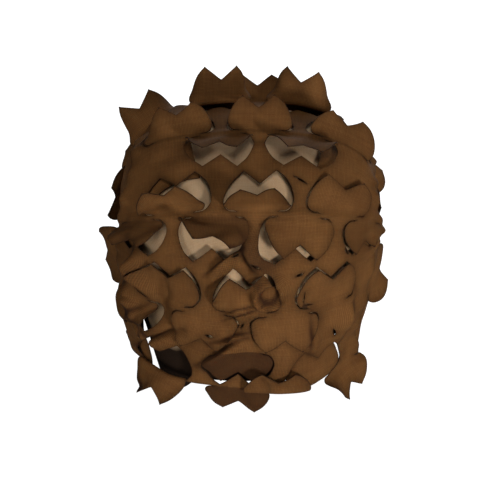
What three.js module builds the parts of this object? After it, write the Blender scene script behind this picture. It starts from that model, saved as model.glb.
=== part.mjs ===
// Helmet scrim cover: three panels of leaf-cut scrim cloth draped over a plain cloth cap.
// Millimetres, +Z up, front towards -Y. The origin is under the crown of the cap, where a head carries it.
import * as THREE from "three";

// Dome that the cloth lies on, measured inside the cap
const HALF_WIDTH = 118;
const HALF_DEPTH = 128;
const CROWN_RISE = 106; // from the widest level up to the crown
const PLAN_POWER = 2.3; // 2 is an ellipse, more is squarer in plan
const CROWN_POWER = { front: 2.1, side: 3.0 }; // 2 is a round shoulder, more is squarer
// How far below the widest level the cloth would close; the right side draws in most
const SKIRT_REACH = { front: 420, left: 320, right: 235 };
const SKIRT_POWER = 1.5;

// Cloths: thickness, and the gap from the dome to the middle of each cloth
const CAP_THICKNESS = 2;
const SCRIM_THICKNESS = 1.5;
const CAP_CLEARANCE = 1;
const SIDE_CLEARANCE = 4.8;
const CENTRE_CLEARANCE = 8.8;

const CAP_LOOK = { color: 0x92755a, roughness: 0.95, metalness: 0 };
const SCRIM_LOOK = { color: 0x5b3d23, roughness: 0.9, metalness: 0 };

// Slack of the hanging scrim: none down to SLACK_START below the crown, all of it at SLACK_END
const SLACK = 5;
const SLACK_START = 66;
const SLACK_END = 236;
// Folds: number round the dome, height, turn of the first one, and turn for each millimetre of depth
const DRAPE_FOLDS = [
  { count: 5, height: 3.0, phase: 0.4, slant: 0 },
  { count: 8, height: 1.8, phase: 2.0, slant: 0.05 },
  { count: 3, height: 1.6, phase: 1.0, slant: -0.13 },
];

// The centre panel's front hangs askew: how far it moves to the left for each millimetre past the start
const LEAN = { start: 100, slope: 0.105 };

// Soft folds where the centre panel bunches, from (p, q) to (toP, toQ) of its flat cloth
const CREASES = [
  { p: -96, q: 170, toP: -100, toQ: 225, height: 8, width: 9 },
  { p: -70, q: 195, toP: -68, toQ: 245, height: -6, width: 8 },
  { p: -50, q: 262, toP: -90, toQ: 298, height: 9, width: 8 },
  { p: -46, q: 250, toP: -84, toQ: 282, height: -6, width: 6 },
  { p: 7, q: 152, toP: 24, toQ: 178, height: 11, width: 9 },
  { p: -6, q: 165, toP: 8, toQ: 190, height: -6, width: 7 },
  { p: 4, q: 167, toP: -22, toQ: 187, height: 9, width: 5 },
  { p: 6, q: 180, toP: -22, toQ: 201, height: -5, width: 5 },
  { p: 10, q: 262, toP: -20, toQ: 287, height: 9, width: 6 },
  { p: 107, q: 228, toP: 104, toQ: 262, height: 7, width: 9 },
  { p: 76, q: 232, toP: 80, toQ: 268, height: 6, width: 6 },
];
const CREASE_FADE = { start: 0.15, run: 0.7 }; // part of a half wave that the height follows along a crease
const CREASE_SINK = { most: 3, inside: 70, outside: 85 }; // troughs end where the side panels lie underneath

// Cap: its rim hangs lower at front and back than over the ears.
// Turns are degrees from the front to the right, angles are degrees from straight up.
const CAP_RIM = [
  { turn: -180, angle: 130 },
  { turn: -140, angle: 121 },
  { turn: -90, angle: 116 },
  { turn: -46, angle: 118 },
  { turn: -34, angle: 131 },
  { turn: 29, angle: 131 },
  { turn: 42, angle: 118 },
  { turn: 90, angle: 116 },
  { turn: 140, angle: 121 },
  { turn: 180, angle: 130 },
];
const CAP_SECTORS = 40;
const CAP_RINGS = 12;

// Cut pattern: bands of leaves, every second line between bands is a line of hinges
const PITCH = 74; // leaf to leaf along a band
const BAND = 45; // depth of a band
const FIRST_LINE = 43; // line 0, in front of the crown
const FORE_CENTRE = 47.5; // middle of fore leaf 0; an aft leaf is half a pitch aside
const HINGE_INSET = 2; // hinge to the line it belongs to
const KERF = 1.2; // gap that the cut leaves round a leaf
const EDGE_MARGIN = 4; // least cloth between a cut and the panel's edge
const WEB_EDGE = 10; // an edge of the cloth round the leaves is not halved below this
const HINGE_EDGE = PITCH / 4 + 0.01; // nor one along a hinge line below this
const WEB_SAG = 0.5; // how far such an edge may pass from the drape
const WEB_PLACES = [0.25, 0.5, 0.75]; // shares of an edge where that is measured

// Leaf: a tulip with two points, its half width at each rise over the hinge.
// Inward and upward tell how a point moves as the kerf narrows the leaf.
const LEAF = [
  { half: PITCH / 4, rise: 0, inward: 0, upward: 0 },
  { half: 27, rise: 1.5, inward: 1, upward: 1 },
  { half: 31.5, rise: 10, inward: 1, upward: 0 },
  { half: 29.5, rise: 21, inward: 1, upward: 0 },
  { half: 24, rise: 31.5, inward: 1, upward: 0 },
  { half: 15.5, rise: 40, inward: 0, upward: -1 },
];
const LEAF_LENGTH = LEAF.at(-1).rise;
const LEAF_HALF = Math.max(...LEAF.map((row) => row.half));
const LEAF_NOTCH = 27; // rise of the notch between the two points
const LEAF_FOLD = 9; // length over which a leaf turns out of the cloth

// Panels: bands that each has, and its two edges at each line, as places along a band.
// A centre panel hangs front and back. A side panel hangs over one ear.
const PANELS = [
  {
    name: "scrim_centre",
    clearance: CENTRE_CLEARANCE,
    overEar: false,
    allLeaves: true,
    hems: [
      { line: -8, from: -1, to: 1 },
      { line: 6, from: -1, to: 1 },
    ],
    edges: [
      { line: -8, low: -130, high: 132 },
      { line: -5, low: -130, high: 132 },
      { line: -3, low: -80, high: 92 },
      { line: -2, low: -66, high: 86 },
      { line: -1, low: -101, high: 122 },
      { line: 0, low: -105, high: 123 },
      { line: 1, low: -118, high: 126 },
      { line: 2, low: -139, high: 160 },
      { line: 3, low: -139, high: 162 },
      { line: 4, low: -139, high: 142 },
      { line: 5, low: -139, high: 138 },
      { line: 6, low: -143, high: 146 },
    ],
  },
  {
    name: "scrim_left",
    clearance: SIDE_CLEARANCE,
    overEar: true,
    allLeaves: false,
    hems: [],
    edges: [
      { line: -3, low: -306, high: -56 },
      { line: 1, low: -306, high: -56 },
    ],
  },
  {
    name: "scrim_right",
    clearance: SIDE_CLEARANCE,
    overEar: true,
    allLeaves: false,
    hems: [],
    edges: [
      { line: -3, low: 72, high: 306 },
      { line: 1, low: 72, high: 306 },
    ],
  },
];

// How single leaves stand, in degrees: lift at the hinge, curl along the leaf, twist, and roll across it.
// A leaf that lies in its hole has the rise of its points instead, and the tilt of its right side.
// A turned leaf hinges on the other line of its band, aside moves a hem's leaf along the hem,
// and fold stands for LEAF_FOLD.
// A side panel is cut only where a leaf is listed. Other leaves of the centre panel stand as anyLeaf says.
const LEAVES = [
  { panel: "scrim_centre", band: -3, column: 0, lift: 54, curl: -14, twist: -5, roll: 8 },
  { panel: "scrim_centre", band: -2, column: -1, lift: 104, curl: -12, twist: 4, roll: 10 },
  { panel: "scrim_centre", band: -2, column: 0, lift: 98, curl: -8, twist: -14, roll: 16 },
  { panel: "scrim_centre", band: -1, column: -1, lift: 34, curl: -12, twist: -6, roll: 8 },
  { panel: "scrim_centre", band: -1, column: 0, lift: 40, curl: -8, twist: 2, roll: 6 },
  { panel: "scrim_centre", band: -1, column: 1, lift: 30, curl: -10, twist: 8, roll: 10 },
  { panel: "scrim_centre", band: 0, column: -1, lift: 40, curl: -38, twist: 3, roll: 6 },
  { panel: "scrim_centre", band: 0, column: 0, lift: 38, curl: -36, twist: -7, roll: 8 },
  { panel: "scrim_centre", band: 1, column: -1, lift: 72, curl: -12, twist: -12, roll: 12 },
  { panel: "scrim_centre", band: 1, column: 0, lift: 83, curl: -12, twist: -2, roll: 14 },
  { panel: "scrim_centre", band: 1, column: 1, rise: 6, tilt: 3 },
  { panel: "scrim_centre", band: 2, column: -2, lift: 48, curl: -14, twist: -14, roll: -2 },
  { panel: "scrim_centre", band: 2, column: -1, lift: 62, curl: -26, twist: -24, roll: 14 },
  { panel: "scrim_centre", band: 2, column: 0, lift: 20, curl: -20, twist: -7, roll: 2 },
  { panel: "scrim_centre", band: 2, column: 1, rise: 5, tilt: 0 },
  { panel: "scrim_centre", band: 3, column: -1, rise: 5, tilt: 1 },
  { panel: "scrim_centre", band: 3, column: 0, lift: 19, curl: -12, twist: -12, roll: 2 },
  { panel: "scrim_centre", band: 3, column: 1, rise: 5, tilt: -1 },
  { panel: "scrim_centre", band: 4, column: -2, lift: 30, curl: -44, twist: 10, roll: 34 },
  { panel: "scrim_centre", band: 4, column: -1, rise: 7, tilt: -1 },
  { panel: "scrim_centre", band: 4, column: 0, rise: 8, tilt: 1 },
  { panel: "scrim_centre", band: 5, column: -1, lift: 150, curl: 6, twist: -4, roll: 6 },
  { panel: "scrim_centre", band: 5, column: 0, turned: true, rise: -4, tilt: 0 },
  { panel: "scrim_centre", band: 5, column: 1, rise: -5, tilt: 2 },
  {
    panel: "scrim_centre",
    band: 6,
    column: -1,
    aside: PITCH / 2,
    fold: 3,
    lift: -20,
    curl: 24,
    twist: 0,
    roll: -4,
  },
  { panel: "scrim_centre", band: 6, column: 0, fold: 8, lift: 176, curl: 4, twist: 0, roll: 2 },
  { panel: "scrim_centre", band: 6, column: 1, lift: 46, curl: -16, twist: -12, roll: 26 },
  { panel: "scrim_left", band: -3, column: -2, lift: 42, curl: -14, twist: 4, roll: 8 },
  { panel: "scrim_left", band: -3, column: -3, lift: 40, curl: -22, twist: -6, roll: 10 },
  { panel: "scrim_left", band: -2, column: -2, lift: 110, curl: -8, twist: 26, roll: 20 },
  { panel: "scrim_left", band: -2, column: -3, lift: 18, curl: -14, twist: -4, roll: 6 },
  { panel: "scrim_left", band: -2, column: -4, lift: 20, curl: -18, twist: 4, roll: 8 },
  { panel: "scrim_left", band: -1, column: -3, lift: 34, curl: -20, twist: 8, roll: 12 },
  { panel: "scrim_right", band: -3, column: 2, lift: 52, curl: -20, twist: 14, roll: 20 },
  { panel: "scrim_right", band: -3, column: 3, lift: 24, curl: -22, twist: 6, roll: 8 },
  { panel: "scrim_right", band: -2, column: 2, lift: 10, curl: -14, twist: 5, roll: 4 },
  { panel: "scrim_right", band: -1, column: 3, lift: 15, curl: -12, twist: 20, roll: 6 },
];

// Range of each measure for the leaves that are not listed, and what shuffles them
const ANY_LEAF = {
  lift: { from: 12, to: 56 },
  curl: { from: -24, to: -6 },
  twist: { from: -10, to: 10 },
  roll: { from: 4, to: 18 },
};
const SHUFFLE = { band: 12.9898, column: 78.233, measure: 37.719, spread: 43758.5453 };

const MIDDLE = new THREE.Vector3(0, 0, -CROWN_RISE);
const UP = new THREE.Vector3(0, 0, 1);
const FRONT = new THREE.Vector3(0, -1, 0);
const RIGHT = new THREE.Vector3(1, 0, 0);

// Fineness of the sums: steps along a line, and spans over which a slope is measured
const MERIDIAN_STEPS = 500;
const MERIDIAN_END = 150; // degrees from straight up
const BEND_STEPS = 40;
const SLOPE_TURN = 1e-3;
const SLOPE_SPAN = 0.5;
const STEEP = 0.9; // above this a direction counts as straight up
const TINY = 1e-9;

const vector = () => new THREE.Vector3();
const clamp = (x) => THREE.MathUtils.clamp(x, 0, 1);

// Dome

function domeRadius(way) {
  const wide = Math.pow(Math.abs(way.x) / HALF_WIDTH, PLAN_POWER);
  const deep = Math.pow(Math.abs(way.y) / HALF_DEPTH, PLAN_POWER);
  const plan = Math.pow(wide + deep, 1 / PLAN_POWER);
  const sideways = way.x ** 2 / Math.max(way.x ** 2 + way.y ** 2, TINY);
  const between = (front, side) => THREE.MathUtils.lerp(front, side, sideways);
  const reach = between(SKIRT_REACH.front, way.x < 0 ? SKIRT_REACH.left : SKIRT_REACH.right);
  const power = way.z >= 0 ? between(CROWN_POWER.front, CROWN_POWER.side) : SKIRT_POWER;
  const height = Math.abs(way.z) / (way.z >= 0 ? CROWN_RISE : reach);
  return Math.pow(Math.pow(plan, power) + Math.pow(height, power), -1 / power);
}

const domePoint = (way) => way.clone().multiplyScalar(domeRadius(way)).add(MIDDLE);

function domeNormal(way) {
  const side = vector().crossVectors(way, Math.abs(way.z) < STEEP ? UP : RIGHT).normalize();
  const along = vector().crossVectors(way, side);
  const slope = (axis) =>
    domePoint(way.clone().addScaledVector(axis, SLOPE_TURN).normalize()).sub(
      domePoint(way.clone().addScaledVector(axis, -SLOPE_TURN).normalize()),
    );
  const normal = vector().crossVectors(slope(side), slope(along)).normalize();
  return normal.dot(way) < 0 ? normal.negate() : normal;
}

// How far the hanging scrim stands off the dome, more and in soft folds towards the hem
function drape(way, depth) {
  const share = THREE.MathUtils.smoothstep(depth, SLACK_START, SLACK_END);
  const turn = Math.atan2(way.x, -way.y);
  const folds = DRAPE_FOLDS.map((f) => f.height * Math.sin(f.count * turn + f.slant * depth + f.phase));
  return share * (SLACK + folds.reduce((sum, fold) => sum + fold, 0));
}

function clothPoint(way, clearance, hangs) {
  const point = domePoint(way);
  const gap = clearance + (hangs ? drape(way, -point.z) : 0);
  return point.addScaledVector(domeNormal(way), gap);
}

// Line from the crown straight down one side, by its length: distance out, and height
function meridian(downward, clearance) {
  const line = [{ run: 0, out: 0, z: clearance }];
  for (let i = 1; i <= MERIDIAN_STEPS; i++) {
    const polar = THREE.MathUtils.degToRad((MERIDIAN_END * i) / MERIDIAN_STEPS);
    const way = vector().addScaledVector(downward, Math.sin(polar)).addScaledVector(UP, Math.cos(polar));
    const point = clothPoint(way, clearance, true);
    const last = line[line.length - 1];
    const out = point.dot(downward);
    line.push({ run: last.run + Math.hypot(out - last.out, point.z - last.z), out, z: point.z });
  }
  return (run) => {
    const i = Math.max(1, line.findIndex((s) => s.run >= run));
    const share = (run - line[i - 1].run) / (line[i].run - line[i - 1].run);
    return {
      out: THREE.MathUtils.lerp(line[i - 1].out, line[i].out, share),
      z: THREE.MathUtils.lerp(line[i - 1].z, line[i].z, share),
    };
  };
}

// How far the creases move a point of the centre panel out of its drape
function creaseHeight(p, q) {
  let height = 0;
  for (const crease of CREASES) {
    const [runP, runQ] = [crease.toP - crease.p, crease.toQ - crease.q];
    const share = clamp(((p - crease.p) * runP + (q - crease.q) * runQ) / (runP ** 2 + runQ ** 2));
    const off = Math.hypot(p - crease.p - share * runP, q - crease.q - share * runQ) / crease.width;
    const fade = Math.sin(Math.PI * (CREASE_FADE.start + CREASE_FADE.run * share));
    height += crease.height * fade * Math.exp(-(off ** 2));
  }
  const room = 1 - THREE.MathUtils.smoothstep(Math.abs(p), CREASE_SINK.inside, CREASE_SINK.outside);
  return Math.max(height, -CREASE_SINK.most * room);
}

// Gives the place on the dome of a point (p, q) of a panel's flat cloth: p to the right, q to the front
function drapeOf(panel) {
  const lines = new Map();
  const radius = (panel.overEar ? HALF_DEPTH : HALF_WIDTH) + panel.clearance;
  const acrossWay = panel.overEar ? FRONT : RIGHT;
  return (p, q, creased = true) => {
    const lean = LEAN.slope * Math.max(q - LEAN.start, 0);
    const [run, across] = panel.overEar ? [p, q] : [q, p - lean];
    const sign = run < 0 ? -1 : 1;
    const downward = (panel.overEar ? RIGHT : FRONT).clone().multiplyScalar(sign);
    if (!lines.has(sign)) lines.set(sign, meridian(downward, panel.clearance));
    const station = lines.get(sign)(Math.abs(run));
    const base = downward.multiplyScalar(station.out).addScaledVector(UP, station.z);
    const fall = base.clone().sub(MIDDLE);
    fall.z = Math.max(fall.z, 0);
    fall.normalize();
    const turn = across / radius;
    base.addScaledVector(acrossWay, radius * Math.sin(turn));
    base.addScaledVector(fall, radius * (Math.cos(turn) - 1));
    const relief = creased && !panel.overEar ? creaseHeight(p, q) : 0;
    return clothPoint(base.sub(MIDDLE).normalize(), panel.clearance + relief, true);
  };
}

// Sheets

class Sheet {
  points = [];
  faces = [];
  #known = new Map();

  // Index of the point with this name, made once
  point(name, make) {
    if (!this.#known.has(name)) this.#known.set(name, this.points.push(make()) - 1);
    return this.#known.get(name);
  }

  // Two triangles for each square of a grid of point indices
  grid(rows, flip) {
    for (let r = 0; r + 1 < rows.length; r++)
      for (let c = 0; c + 1 < rows[r].length; c++) {
        const [a, b] = [rows[r][c], rows[r][c + 1]];
        const [d, e] = [rows[r + 1][c], rows[r + 1][c + 1]];
        this.face(a, b, e, flip);
        this.face(a, e, d, flip);
      }
  }

  face(a, b, c, flip) {
    if (a !== b && b !== c && c !== a) this.faces.push(flip ? [a, c, b] : [a, b, c]);
  }

  // Closed solid of this thickness, half of it on each side of the sheet
  thicken(thickness) {
    const normals = this.points.map(vector);
    for (const [a, b, c] of this.faces) {
      const [pa, pb, pc] = [this.points[a], this.points[b], this.points[c]];
      const normal = pb.clone().sub(pa).cross(pc.clone().sub(pa));
      for (const i of [a, b, c]) normals[i].add(normal);
    }
    const count = this.points.length;
    const positions = [];
    for (const half of [thickness / 2, -thickness / 2])
      this.points.forEach((point, i) => {
        const moved = point.clone().addScaledVector(normals[i].clone().normalize(), half);
        positions.push(moved.x, moved.y, moved.z);
      });
    const triangles = this.faces.flatMap(([a, b, c]) => [a, b, c, a + count, c + count, b + count]);
    const sides = new Set(this.faces.flatMap(([a, b, c]) => [`${a} ${b}`, `${b} ${c}`, `${c} ${a}`]));
    for (const side of sides) {
      const [a, b] = side.split(" ").map(Number);
      if (!sides.has(`${b} ${a}`)) triangles.push(b, a, a + count, b, a + count, b + count);
    }
    const geometry = new THREE.BufferGeometry();
    geometry.setAttribute("position", new THREE.Float32BufferAttribute(positions, 3));
    geometry.setIndex(triangles);
    return geometry;
  }
}

// Cut pattern: a cell is one leaf and the cloth round it, in places (a, b) across and over its hinge line

const lineAt = (line) => FIRST_LINE + BAND * line;
// The odd lines carry no hinges, only the points of leaves meet there
const onPointLine = (q) => Math.abs((q - FIRST_LINE) / BAND) % 2 === 1;

function cellOf(band, column, stance) {
  const even = band % 2 === 0;
  const fore = stance?.turned ? !even : even;
  const centre = FORE_CENTRE + PITCH * column - (even ? 0 : PITCH / 2) + (stance?.aside ?? 0);
  const hinge = lineAt(fore ? band : band + 1);
  return { band, column, fore, flat: (a, b) => [centre + a, hinge + (fore ? b : -b)] };
}

const CELL_RING = [
  ...[-2, -1, 0, 1, 2].map((k) => [(k * PITCH) / 4, 0]),
  [PITCH / 2, BAND / 2],
  ...[2, 1, 0, -1, -2].map((k) => [(k * PITCH) / 4, BAND]),
  [-PITCH / 2, BAND / 2],
];

// Rows of a leaf from hinge to points: left, middle, right
function leafRows(kerf) {
  const notch = LEAF_NOTCH - kerf;
  return LEAF.map((row, k) => {
    const half = row.half - row.inward * kerf;
    const rise = row.rise + row.upward * kerf;
    return [[-half, rise], [0, (notch * k) / (LEAF.length - 1)], [half, rise]];
  });
}

// Outline of the hole that a leaf leaves, anticlockwise from the left corner
function holeOutline() {
  const [hinge, ...rows] = leafRows(0);
  const points = rows.pop();
  const [corner, ...leftSide] = rows.map((row) => row[0]);
  const rightSide = rows.map((row) => row[2]);
  const ring = [corner, ...hinge, ...rightSide, ...points.reverse(), ...leftSide.reverse()];
  return ring.map(([a, b]) => [a, b + HINGE_INSET]);
}

const HOLE_RING = holeOutline();

// Triangles between an outer and an inner ring, joined by the shorter diagonal each time
function zipRings(outer, inner, join) {
  const far = ([a, b], [c, d]) => Math.hypot(a - c, b - d);
  let [o, i] = [0, 0];
  while (o < outer.length || i < inner.length) {
    const [a, b] = [outer[o % outer.length], outer[(o + 1) % outer.length]];
    const [c, d] = [inner[i % inner.length], inner[(i + 1) % inner.length]];
    const growOuter = i >= inner.length || (o < outer.length && far(b, c) <= far(a, d));
    join(growOuter ? [a, b, c] : [a, d, c]);
    if (growOuter) o++;
    else i++;
  }
}

// Steps of a leaf's middle line as it turns out of the cloth: along, out, and the angle there
function bendOf(stance) {
  const step = LEAF_LENGTH / BEND_STEPS;
  const fold = stance.fold ?? LEAF_FOLD;
  const line = [{ along: 0, out: 0, angle: 0 }];
  for (let i = 1; i <= BEND_STEPS; i++) {
    const b = (i - 0.5) * step;
    const turned = stance.lift * clamp(b / fold) + (stance.curl * b) / LEAF_LENGTH;
    const angle = THREE.MathUtils.degToRad(turned);
    const last = line[i - 1];
    line.push({ along: last.along + step * Math.cos(angle), out: last.out + step * Math.sin(angle), angle });
  }
  return (b) => line[Math.min(BEND_STEPS, Math.round(b / step))];
}

// The same number from 0 to 1 each time for the same leaf and measure
function chance(band, column, measure) {
  const x = Math.sin(band * SHUFFLE.band + column * SHUFFLE.column + measure * SHUFFLE.measure);
  return x * SHUFFLE.spread - Math.floor(x * SHUFFLE.spread);
}

function anyLeaf(band, column) {
  const measures = Object.entries(ANY_LEAF);
  return Object.fromEntries(
    measures.map(([name, { from, to }], measure) => [
      name,
      THREE.MathUtils.lerp(from, to, chance(band, column, measure)),
    ]),
  );
}

function stanceOf(panel, band, column) {
  const { name, allLeaves } = panel;
  const listed = LEAVES.find((l) => l.panel === name && l.band === band && l.column === column);
  return listed ?? (allLeaves ? anyLeaf(band, column) : undefined);
}

// Gives the place of a point (a, b) of a leaf that lies in its hole and rises a little towards its points
function lyingLeaf(place, cell, inset, stance) {
  return (a, b) => {
    const point = place(...cell.flat(a, inset + b));
    const out = domeNormal(point.clone().sub(MIDDLE).normalize());
    const rise = stance.rise + (stance.tilt * a) / LEAF_HALF;
    return point.addScaledVector(out, (rise * b) / LEAF_LENGTH);
  };
}

// The same for a leaf that stands out of the cloth at its hinge
function standingLeaf(place, cell, inset, stance) {
  const step = SLOPE_SPAN;
  const [p, q] = cell.flat(0, inset);
  const at = place(p, q, false);
  const across = place(p + step, q, false).sub(place(p - step, q, false)).divideScalar(2 * step);
  const over = place(...cell.flat(0, inset + step), false).sub(place(...cell.flat(0, inset - step), false));
  const stretch = clamp(over.divideScalar(2 * step).length());
  const narrow = clamp(across.length());
  across.normalize();
  over.addScaledVector(across, -over.dot(across)).normalize();
  const out = vector().crossVectors(over, across).multiplyScalar(cell.fore ? 1 : -1);
  const bend = bendOf(stance);
  const roll = THREE.MathUtils.degToRad(stance.roll) / LEAF_HALF;
  const twist = Math.tan(THREE.MathUtils.degToRad(stance.twist));
  return (a, b) => {
    const line = bend(b);
    const share = b / LEAF_LENGTH;
    const curve = roll * share + TINY;
    const rise = (1 - Math.cos(curve * a)) / curve + twist * a * share;
    const up = out.clone().multiplyScalar(Math.cos(line.angle)).addScaledVector(over, -Math.sin(line.angle));
    const hinge = place(p + a, q).sub(at).addScaledVector(across, -a * narrow);
    return at
      .clone()
      .addScaledVector(hinge, 1 - share)
      .addScaledVector(across, (narrow * Math.sin(curve * a)) / curve)
      .addScaledVector(over, stretch * line.along)
      .addScaledVector(out, stretch * line.out)
      .addScaledVector(up, rise);
  };
}

// Panels

const tag = (p, q) => `${p.toFixed(2)} ${q.toFixed(2)}`;

// The panel's two edges at a place q of the cloth
function limits(panel, q) {
  const line = (q - FIRST_LINE) / BAND;
  const above = Math.max(1, panel.edges.findIndex((e) => e.line >= line - TINY));
  const [from, to] = [panel.edges[above - 1], panel.edges[above]];
  const share = clamp((line - from.line) / (to.line - from.line));
  return [THREE.MathUtils.lerp(from.low, to.low, share), THREE.MathUtils.lerp(from.high, to.high, share)];
}

// Part of a cell's outline between the panel's edges
function trimmed(ring, panel) {
  const past = [([p, q]) => p - limits(panel, q)[0], ([p, q]) => limits(panel, q)[1] - p];
  return past.reduce((corners, inside) => {
    const kept = [];
    corners.forEach((corner, i) => {
      const next = corners[(i + 1) % corners.length];
      const [here, there] = [inside(corner), inside(next)];
      if (here >= 0) kept.push(corner);
      if (here * there < 0) {
        const share = here / (here - there);
        kept.push(corner.map((x, k) => THREE.MathUtils.lerp(x, next[k], share)));
      }
    });
    return kept;
  }, ring);
}

function addLeaf(sheet, place, cell, inset, stance) {
  const leaf = ("rise" in stance ? lyingLeaf : standingLeaf)(place, cell, inset, stance);
  const rows = leafRows(KERF).map((row, r) =>
    row.map(([a, b], c) =>
      r === 0
        ? sheet.point(tag(...cell.flat(a, inset)), () => place(...cell.flat(a, inset)))
        : sheet.point(`leaf ${cell.band} ${cell.column} ${r} ${c}`, () => leaf(a, b)),
    ),
  );
  sheet.grid(rows, cell.fore);
}

// Face of the cloth round the leaves, halved at its longest sagging edge until every edge keeps to the drape
function addWeb(sheet, place, corners, flip) {
  const [a, b, c] = corners;
  const between = (from, to, share) => from.map((x, k) => THREE.MathUtils.lerp(x, to[k], share));
  const lengthOf = ([from, to]) => Math.hypot(from[0] - to[0], from[1] - to[1]);
  const sags = ([from, to]) => {
    const alongHinge = from[1] === to[1] && !onPointLine(from[1]);
    if (lengthOf([from, to]) <= (alongHinge ? HINGE_EDGE : WEB_EDGE)) return false;
    const [start, end] = [place(...from), place(...to)];
    return WEB_PLACES.some((share) => {
      const straight = start.clone().lerp(end, share);
      return straight.distanceTo(place(...between(from, to, share))) > WEB_SAG;
    });
  };
  const turns = [[a, b, c], [b, c, a], [c, a, b]].filter(sags);
  if (turns.length > 0) {
    const [from, to, far] = turns.sort((s, t) => lengthOf(t) - lengthOf(s))[0];
    const middle = between(from, to, 0.5);
    addWeb(sheet, place, [from, middle, far], flip);
    addWeb(sheet, place, [middle, to, far], flip);
    return;
  }
  const [i, j, k] = corners.map(([p, q]) => sheet.point(tag(p, q), () => place(p, q)));
  sheet.face(i, j, k, flip);
}

function buildPanel(panel) {
  const sheet = new Sheet();
  const place = drapeOf(panel);
  const [firstLine, lastLine] = [panel.edges[0].line, panel.edges.at(-1).line];
  const furthest = Math.ceil(Math.max(...panel.edges.flatMap((e) => [-e.low, e.high])) / PITCH) + 1;
  const fits = ([p, q]) => {
    const [low, high] = limits(panel, q);
    return p >= low + EDGE_MARGIN && p <= high - EDGE_MARGIN;
  };

  for (let band = firstLine; band < lastLine; band++)
    for (let column = -furthest; column <= furthest; column++) {
      const stance = stanceOf(panel, band, column);
      const cell = cellOf(band, column, stance);
      const ring = trimmed(CELL_RING.map(([a, b]) => cell.flat(a, b)), panel);
      if (stance && ring.length === CELL_RING.length && HOLE_RING.every(([a, b]) => fits(cell.flat(a, b)))) {
        zipRings(CELL_RING, HOLE_RING, (corners) => {
          const flat = corners.map(([a, b]) => cell.flat(a, b));
          addWeb(sheet, place, flat, cell.fore);
        });
        addLeaf(sheet, place, cell, HINGE_INSET, stance);
      } else if (ring.length > 2) {
        const middle = [0, 1].map((k) => ring.reduce((sum, corner) => sum + corner[k], 0) / ring.length);
        ring.forEach((corner, i) => {
          const next = ring[(i + 1) % ring.length];
          addWeb(sheet, place, [middle, corner, next], cell.fore);
        });
      }
    }

  // Leaves that hang free below a hem
  for (const hem of panel.hems) {
    const band = hem.line === lastLine ? hem.line : hem.line - 1;
    for (let column = hem.from; column <= hem.to; column++) {
      const stance = stanceOf(panel, band, column);
      addLeaf(sheet, place, cellOf(band, column, stance), 0, stance);
    }
  }
  return sheet.thicken(SCRIM_THICKNESS);
}

// Cap

function rimAngle(turn) {
  const degrees = THREE.MathUtils.radToDeg(turn);
  const next = Math.max(1, CAP_RIM.findIndex((row) => row.turn >= degrees));
  const [from, to] = [CAP_RIM[next - 1], CAP_RIM[next]];
  return THREE.MathUtils.lerp(from.angle, to.angle, THREE.MathUtils.smoothstep(degrees, from.turn, to.turn));
}

function buildCap() {
  const sheet = new Sheet();
  const rows = [];
  for (let ring = 0; ring <= CAP_RINGS; ring++) {
    const row = [];
    for (let sector = 0; sector <= CAP_SECTORS; sector++) {
      const turn = 2 * Math.PI * ((sector % CAP_SECTORS) / CAP_SECTORS - 0.5);
      const polar = THREE.MathUtils.degToRad((rimAngle(turn) * ring) / CAP_RINGS);
      const level = FRONT.clone().multiplyScalar(Math.cos(turn)).addScaledVector(RIGHT, Math.sin(turn));
      const way = level.multiplyScalar(Math.sin(polar)).addScaledVector(UP, Math.cos(polar));
      const name = ring === 0 ? "crown" : `${ring} ${sector % CAP_SECTORS}`;
      row.push(sheet.point(name, () => clothPoint(way, CAP_CLEARANCE, false)));
    }
    rows.push(row);
  }
  sheet.grid(rows, true);
  return sheet.thicken(CAP_THICKNESS);
}

// Cover

function clothMesh(name, geometry, look) {
  const mesh = new THREE.Mesh(geometry, new THREE.MeshStandardMaterial(look));
  mesh.name = name;
  return mesh;
}

const cover = new THREE.Group();
cover.add(clothMesh("base_cap", buildCap(), CAP_LOOK));
for (const panel of PANELS) cover.add(clothMesh(panel.name, buildPanel(panel), SCRIM_LOOK));

export default cover;
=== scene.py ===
import math

import bpy
import numpy as np
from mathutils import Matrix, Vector
from mathutils.geometry import delaunay_2d_cdt


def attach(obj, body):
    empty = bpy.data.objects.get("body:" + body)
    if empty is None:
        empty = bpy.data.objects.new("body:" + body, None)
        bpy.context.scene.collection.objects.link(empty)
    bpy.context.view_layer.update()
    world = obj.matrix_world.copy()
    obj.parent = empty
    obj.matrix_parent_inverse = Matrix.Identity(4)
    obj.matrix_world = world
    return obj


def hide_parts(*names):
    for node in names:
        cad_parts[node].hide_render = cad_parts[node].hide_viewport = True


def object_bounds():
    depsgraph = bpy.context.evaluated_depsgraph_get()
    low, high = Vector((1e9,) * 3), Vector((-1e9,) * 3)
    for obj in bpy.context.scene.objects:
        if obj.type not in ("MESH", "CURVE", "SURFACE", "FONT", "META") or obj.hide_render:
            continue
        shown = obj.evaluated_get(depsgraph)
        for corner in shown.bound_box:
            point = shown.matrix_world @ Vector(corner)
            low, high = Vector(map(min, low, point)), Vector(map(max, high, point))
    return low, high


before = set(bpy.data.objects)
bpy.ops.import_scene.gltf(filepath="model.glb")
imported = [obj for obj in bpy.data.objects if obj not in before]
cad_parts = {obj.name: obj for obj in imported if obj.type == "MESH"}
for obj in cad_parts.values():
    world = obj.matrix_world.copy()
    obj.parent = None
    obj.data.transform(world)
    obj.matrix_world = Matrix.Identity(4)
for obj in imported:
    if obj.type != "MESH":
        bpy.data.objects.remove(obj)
cadLow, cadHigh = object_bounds()
print("frame loaded")

mm = 0.001  # cloth is worked out in millimetres, meshes are made in metres
up = np.array([0.0, 0.0, 1.0])
front = np.array([0.0, -1.0, 0.0])
right = np.array([1.0, 0.0, 0.0])
tiny = 1e-9
nearly = 1e-3  # closer than this is the same place, in millimetres

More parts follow.
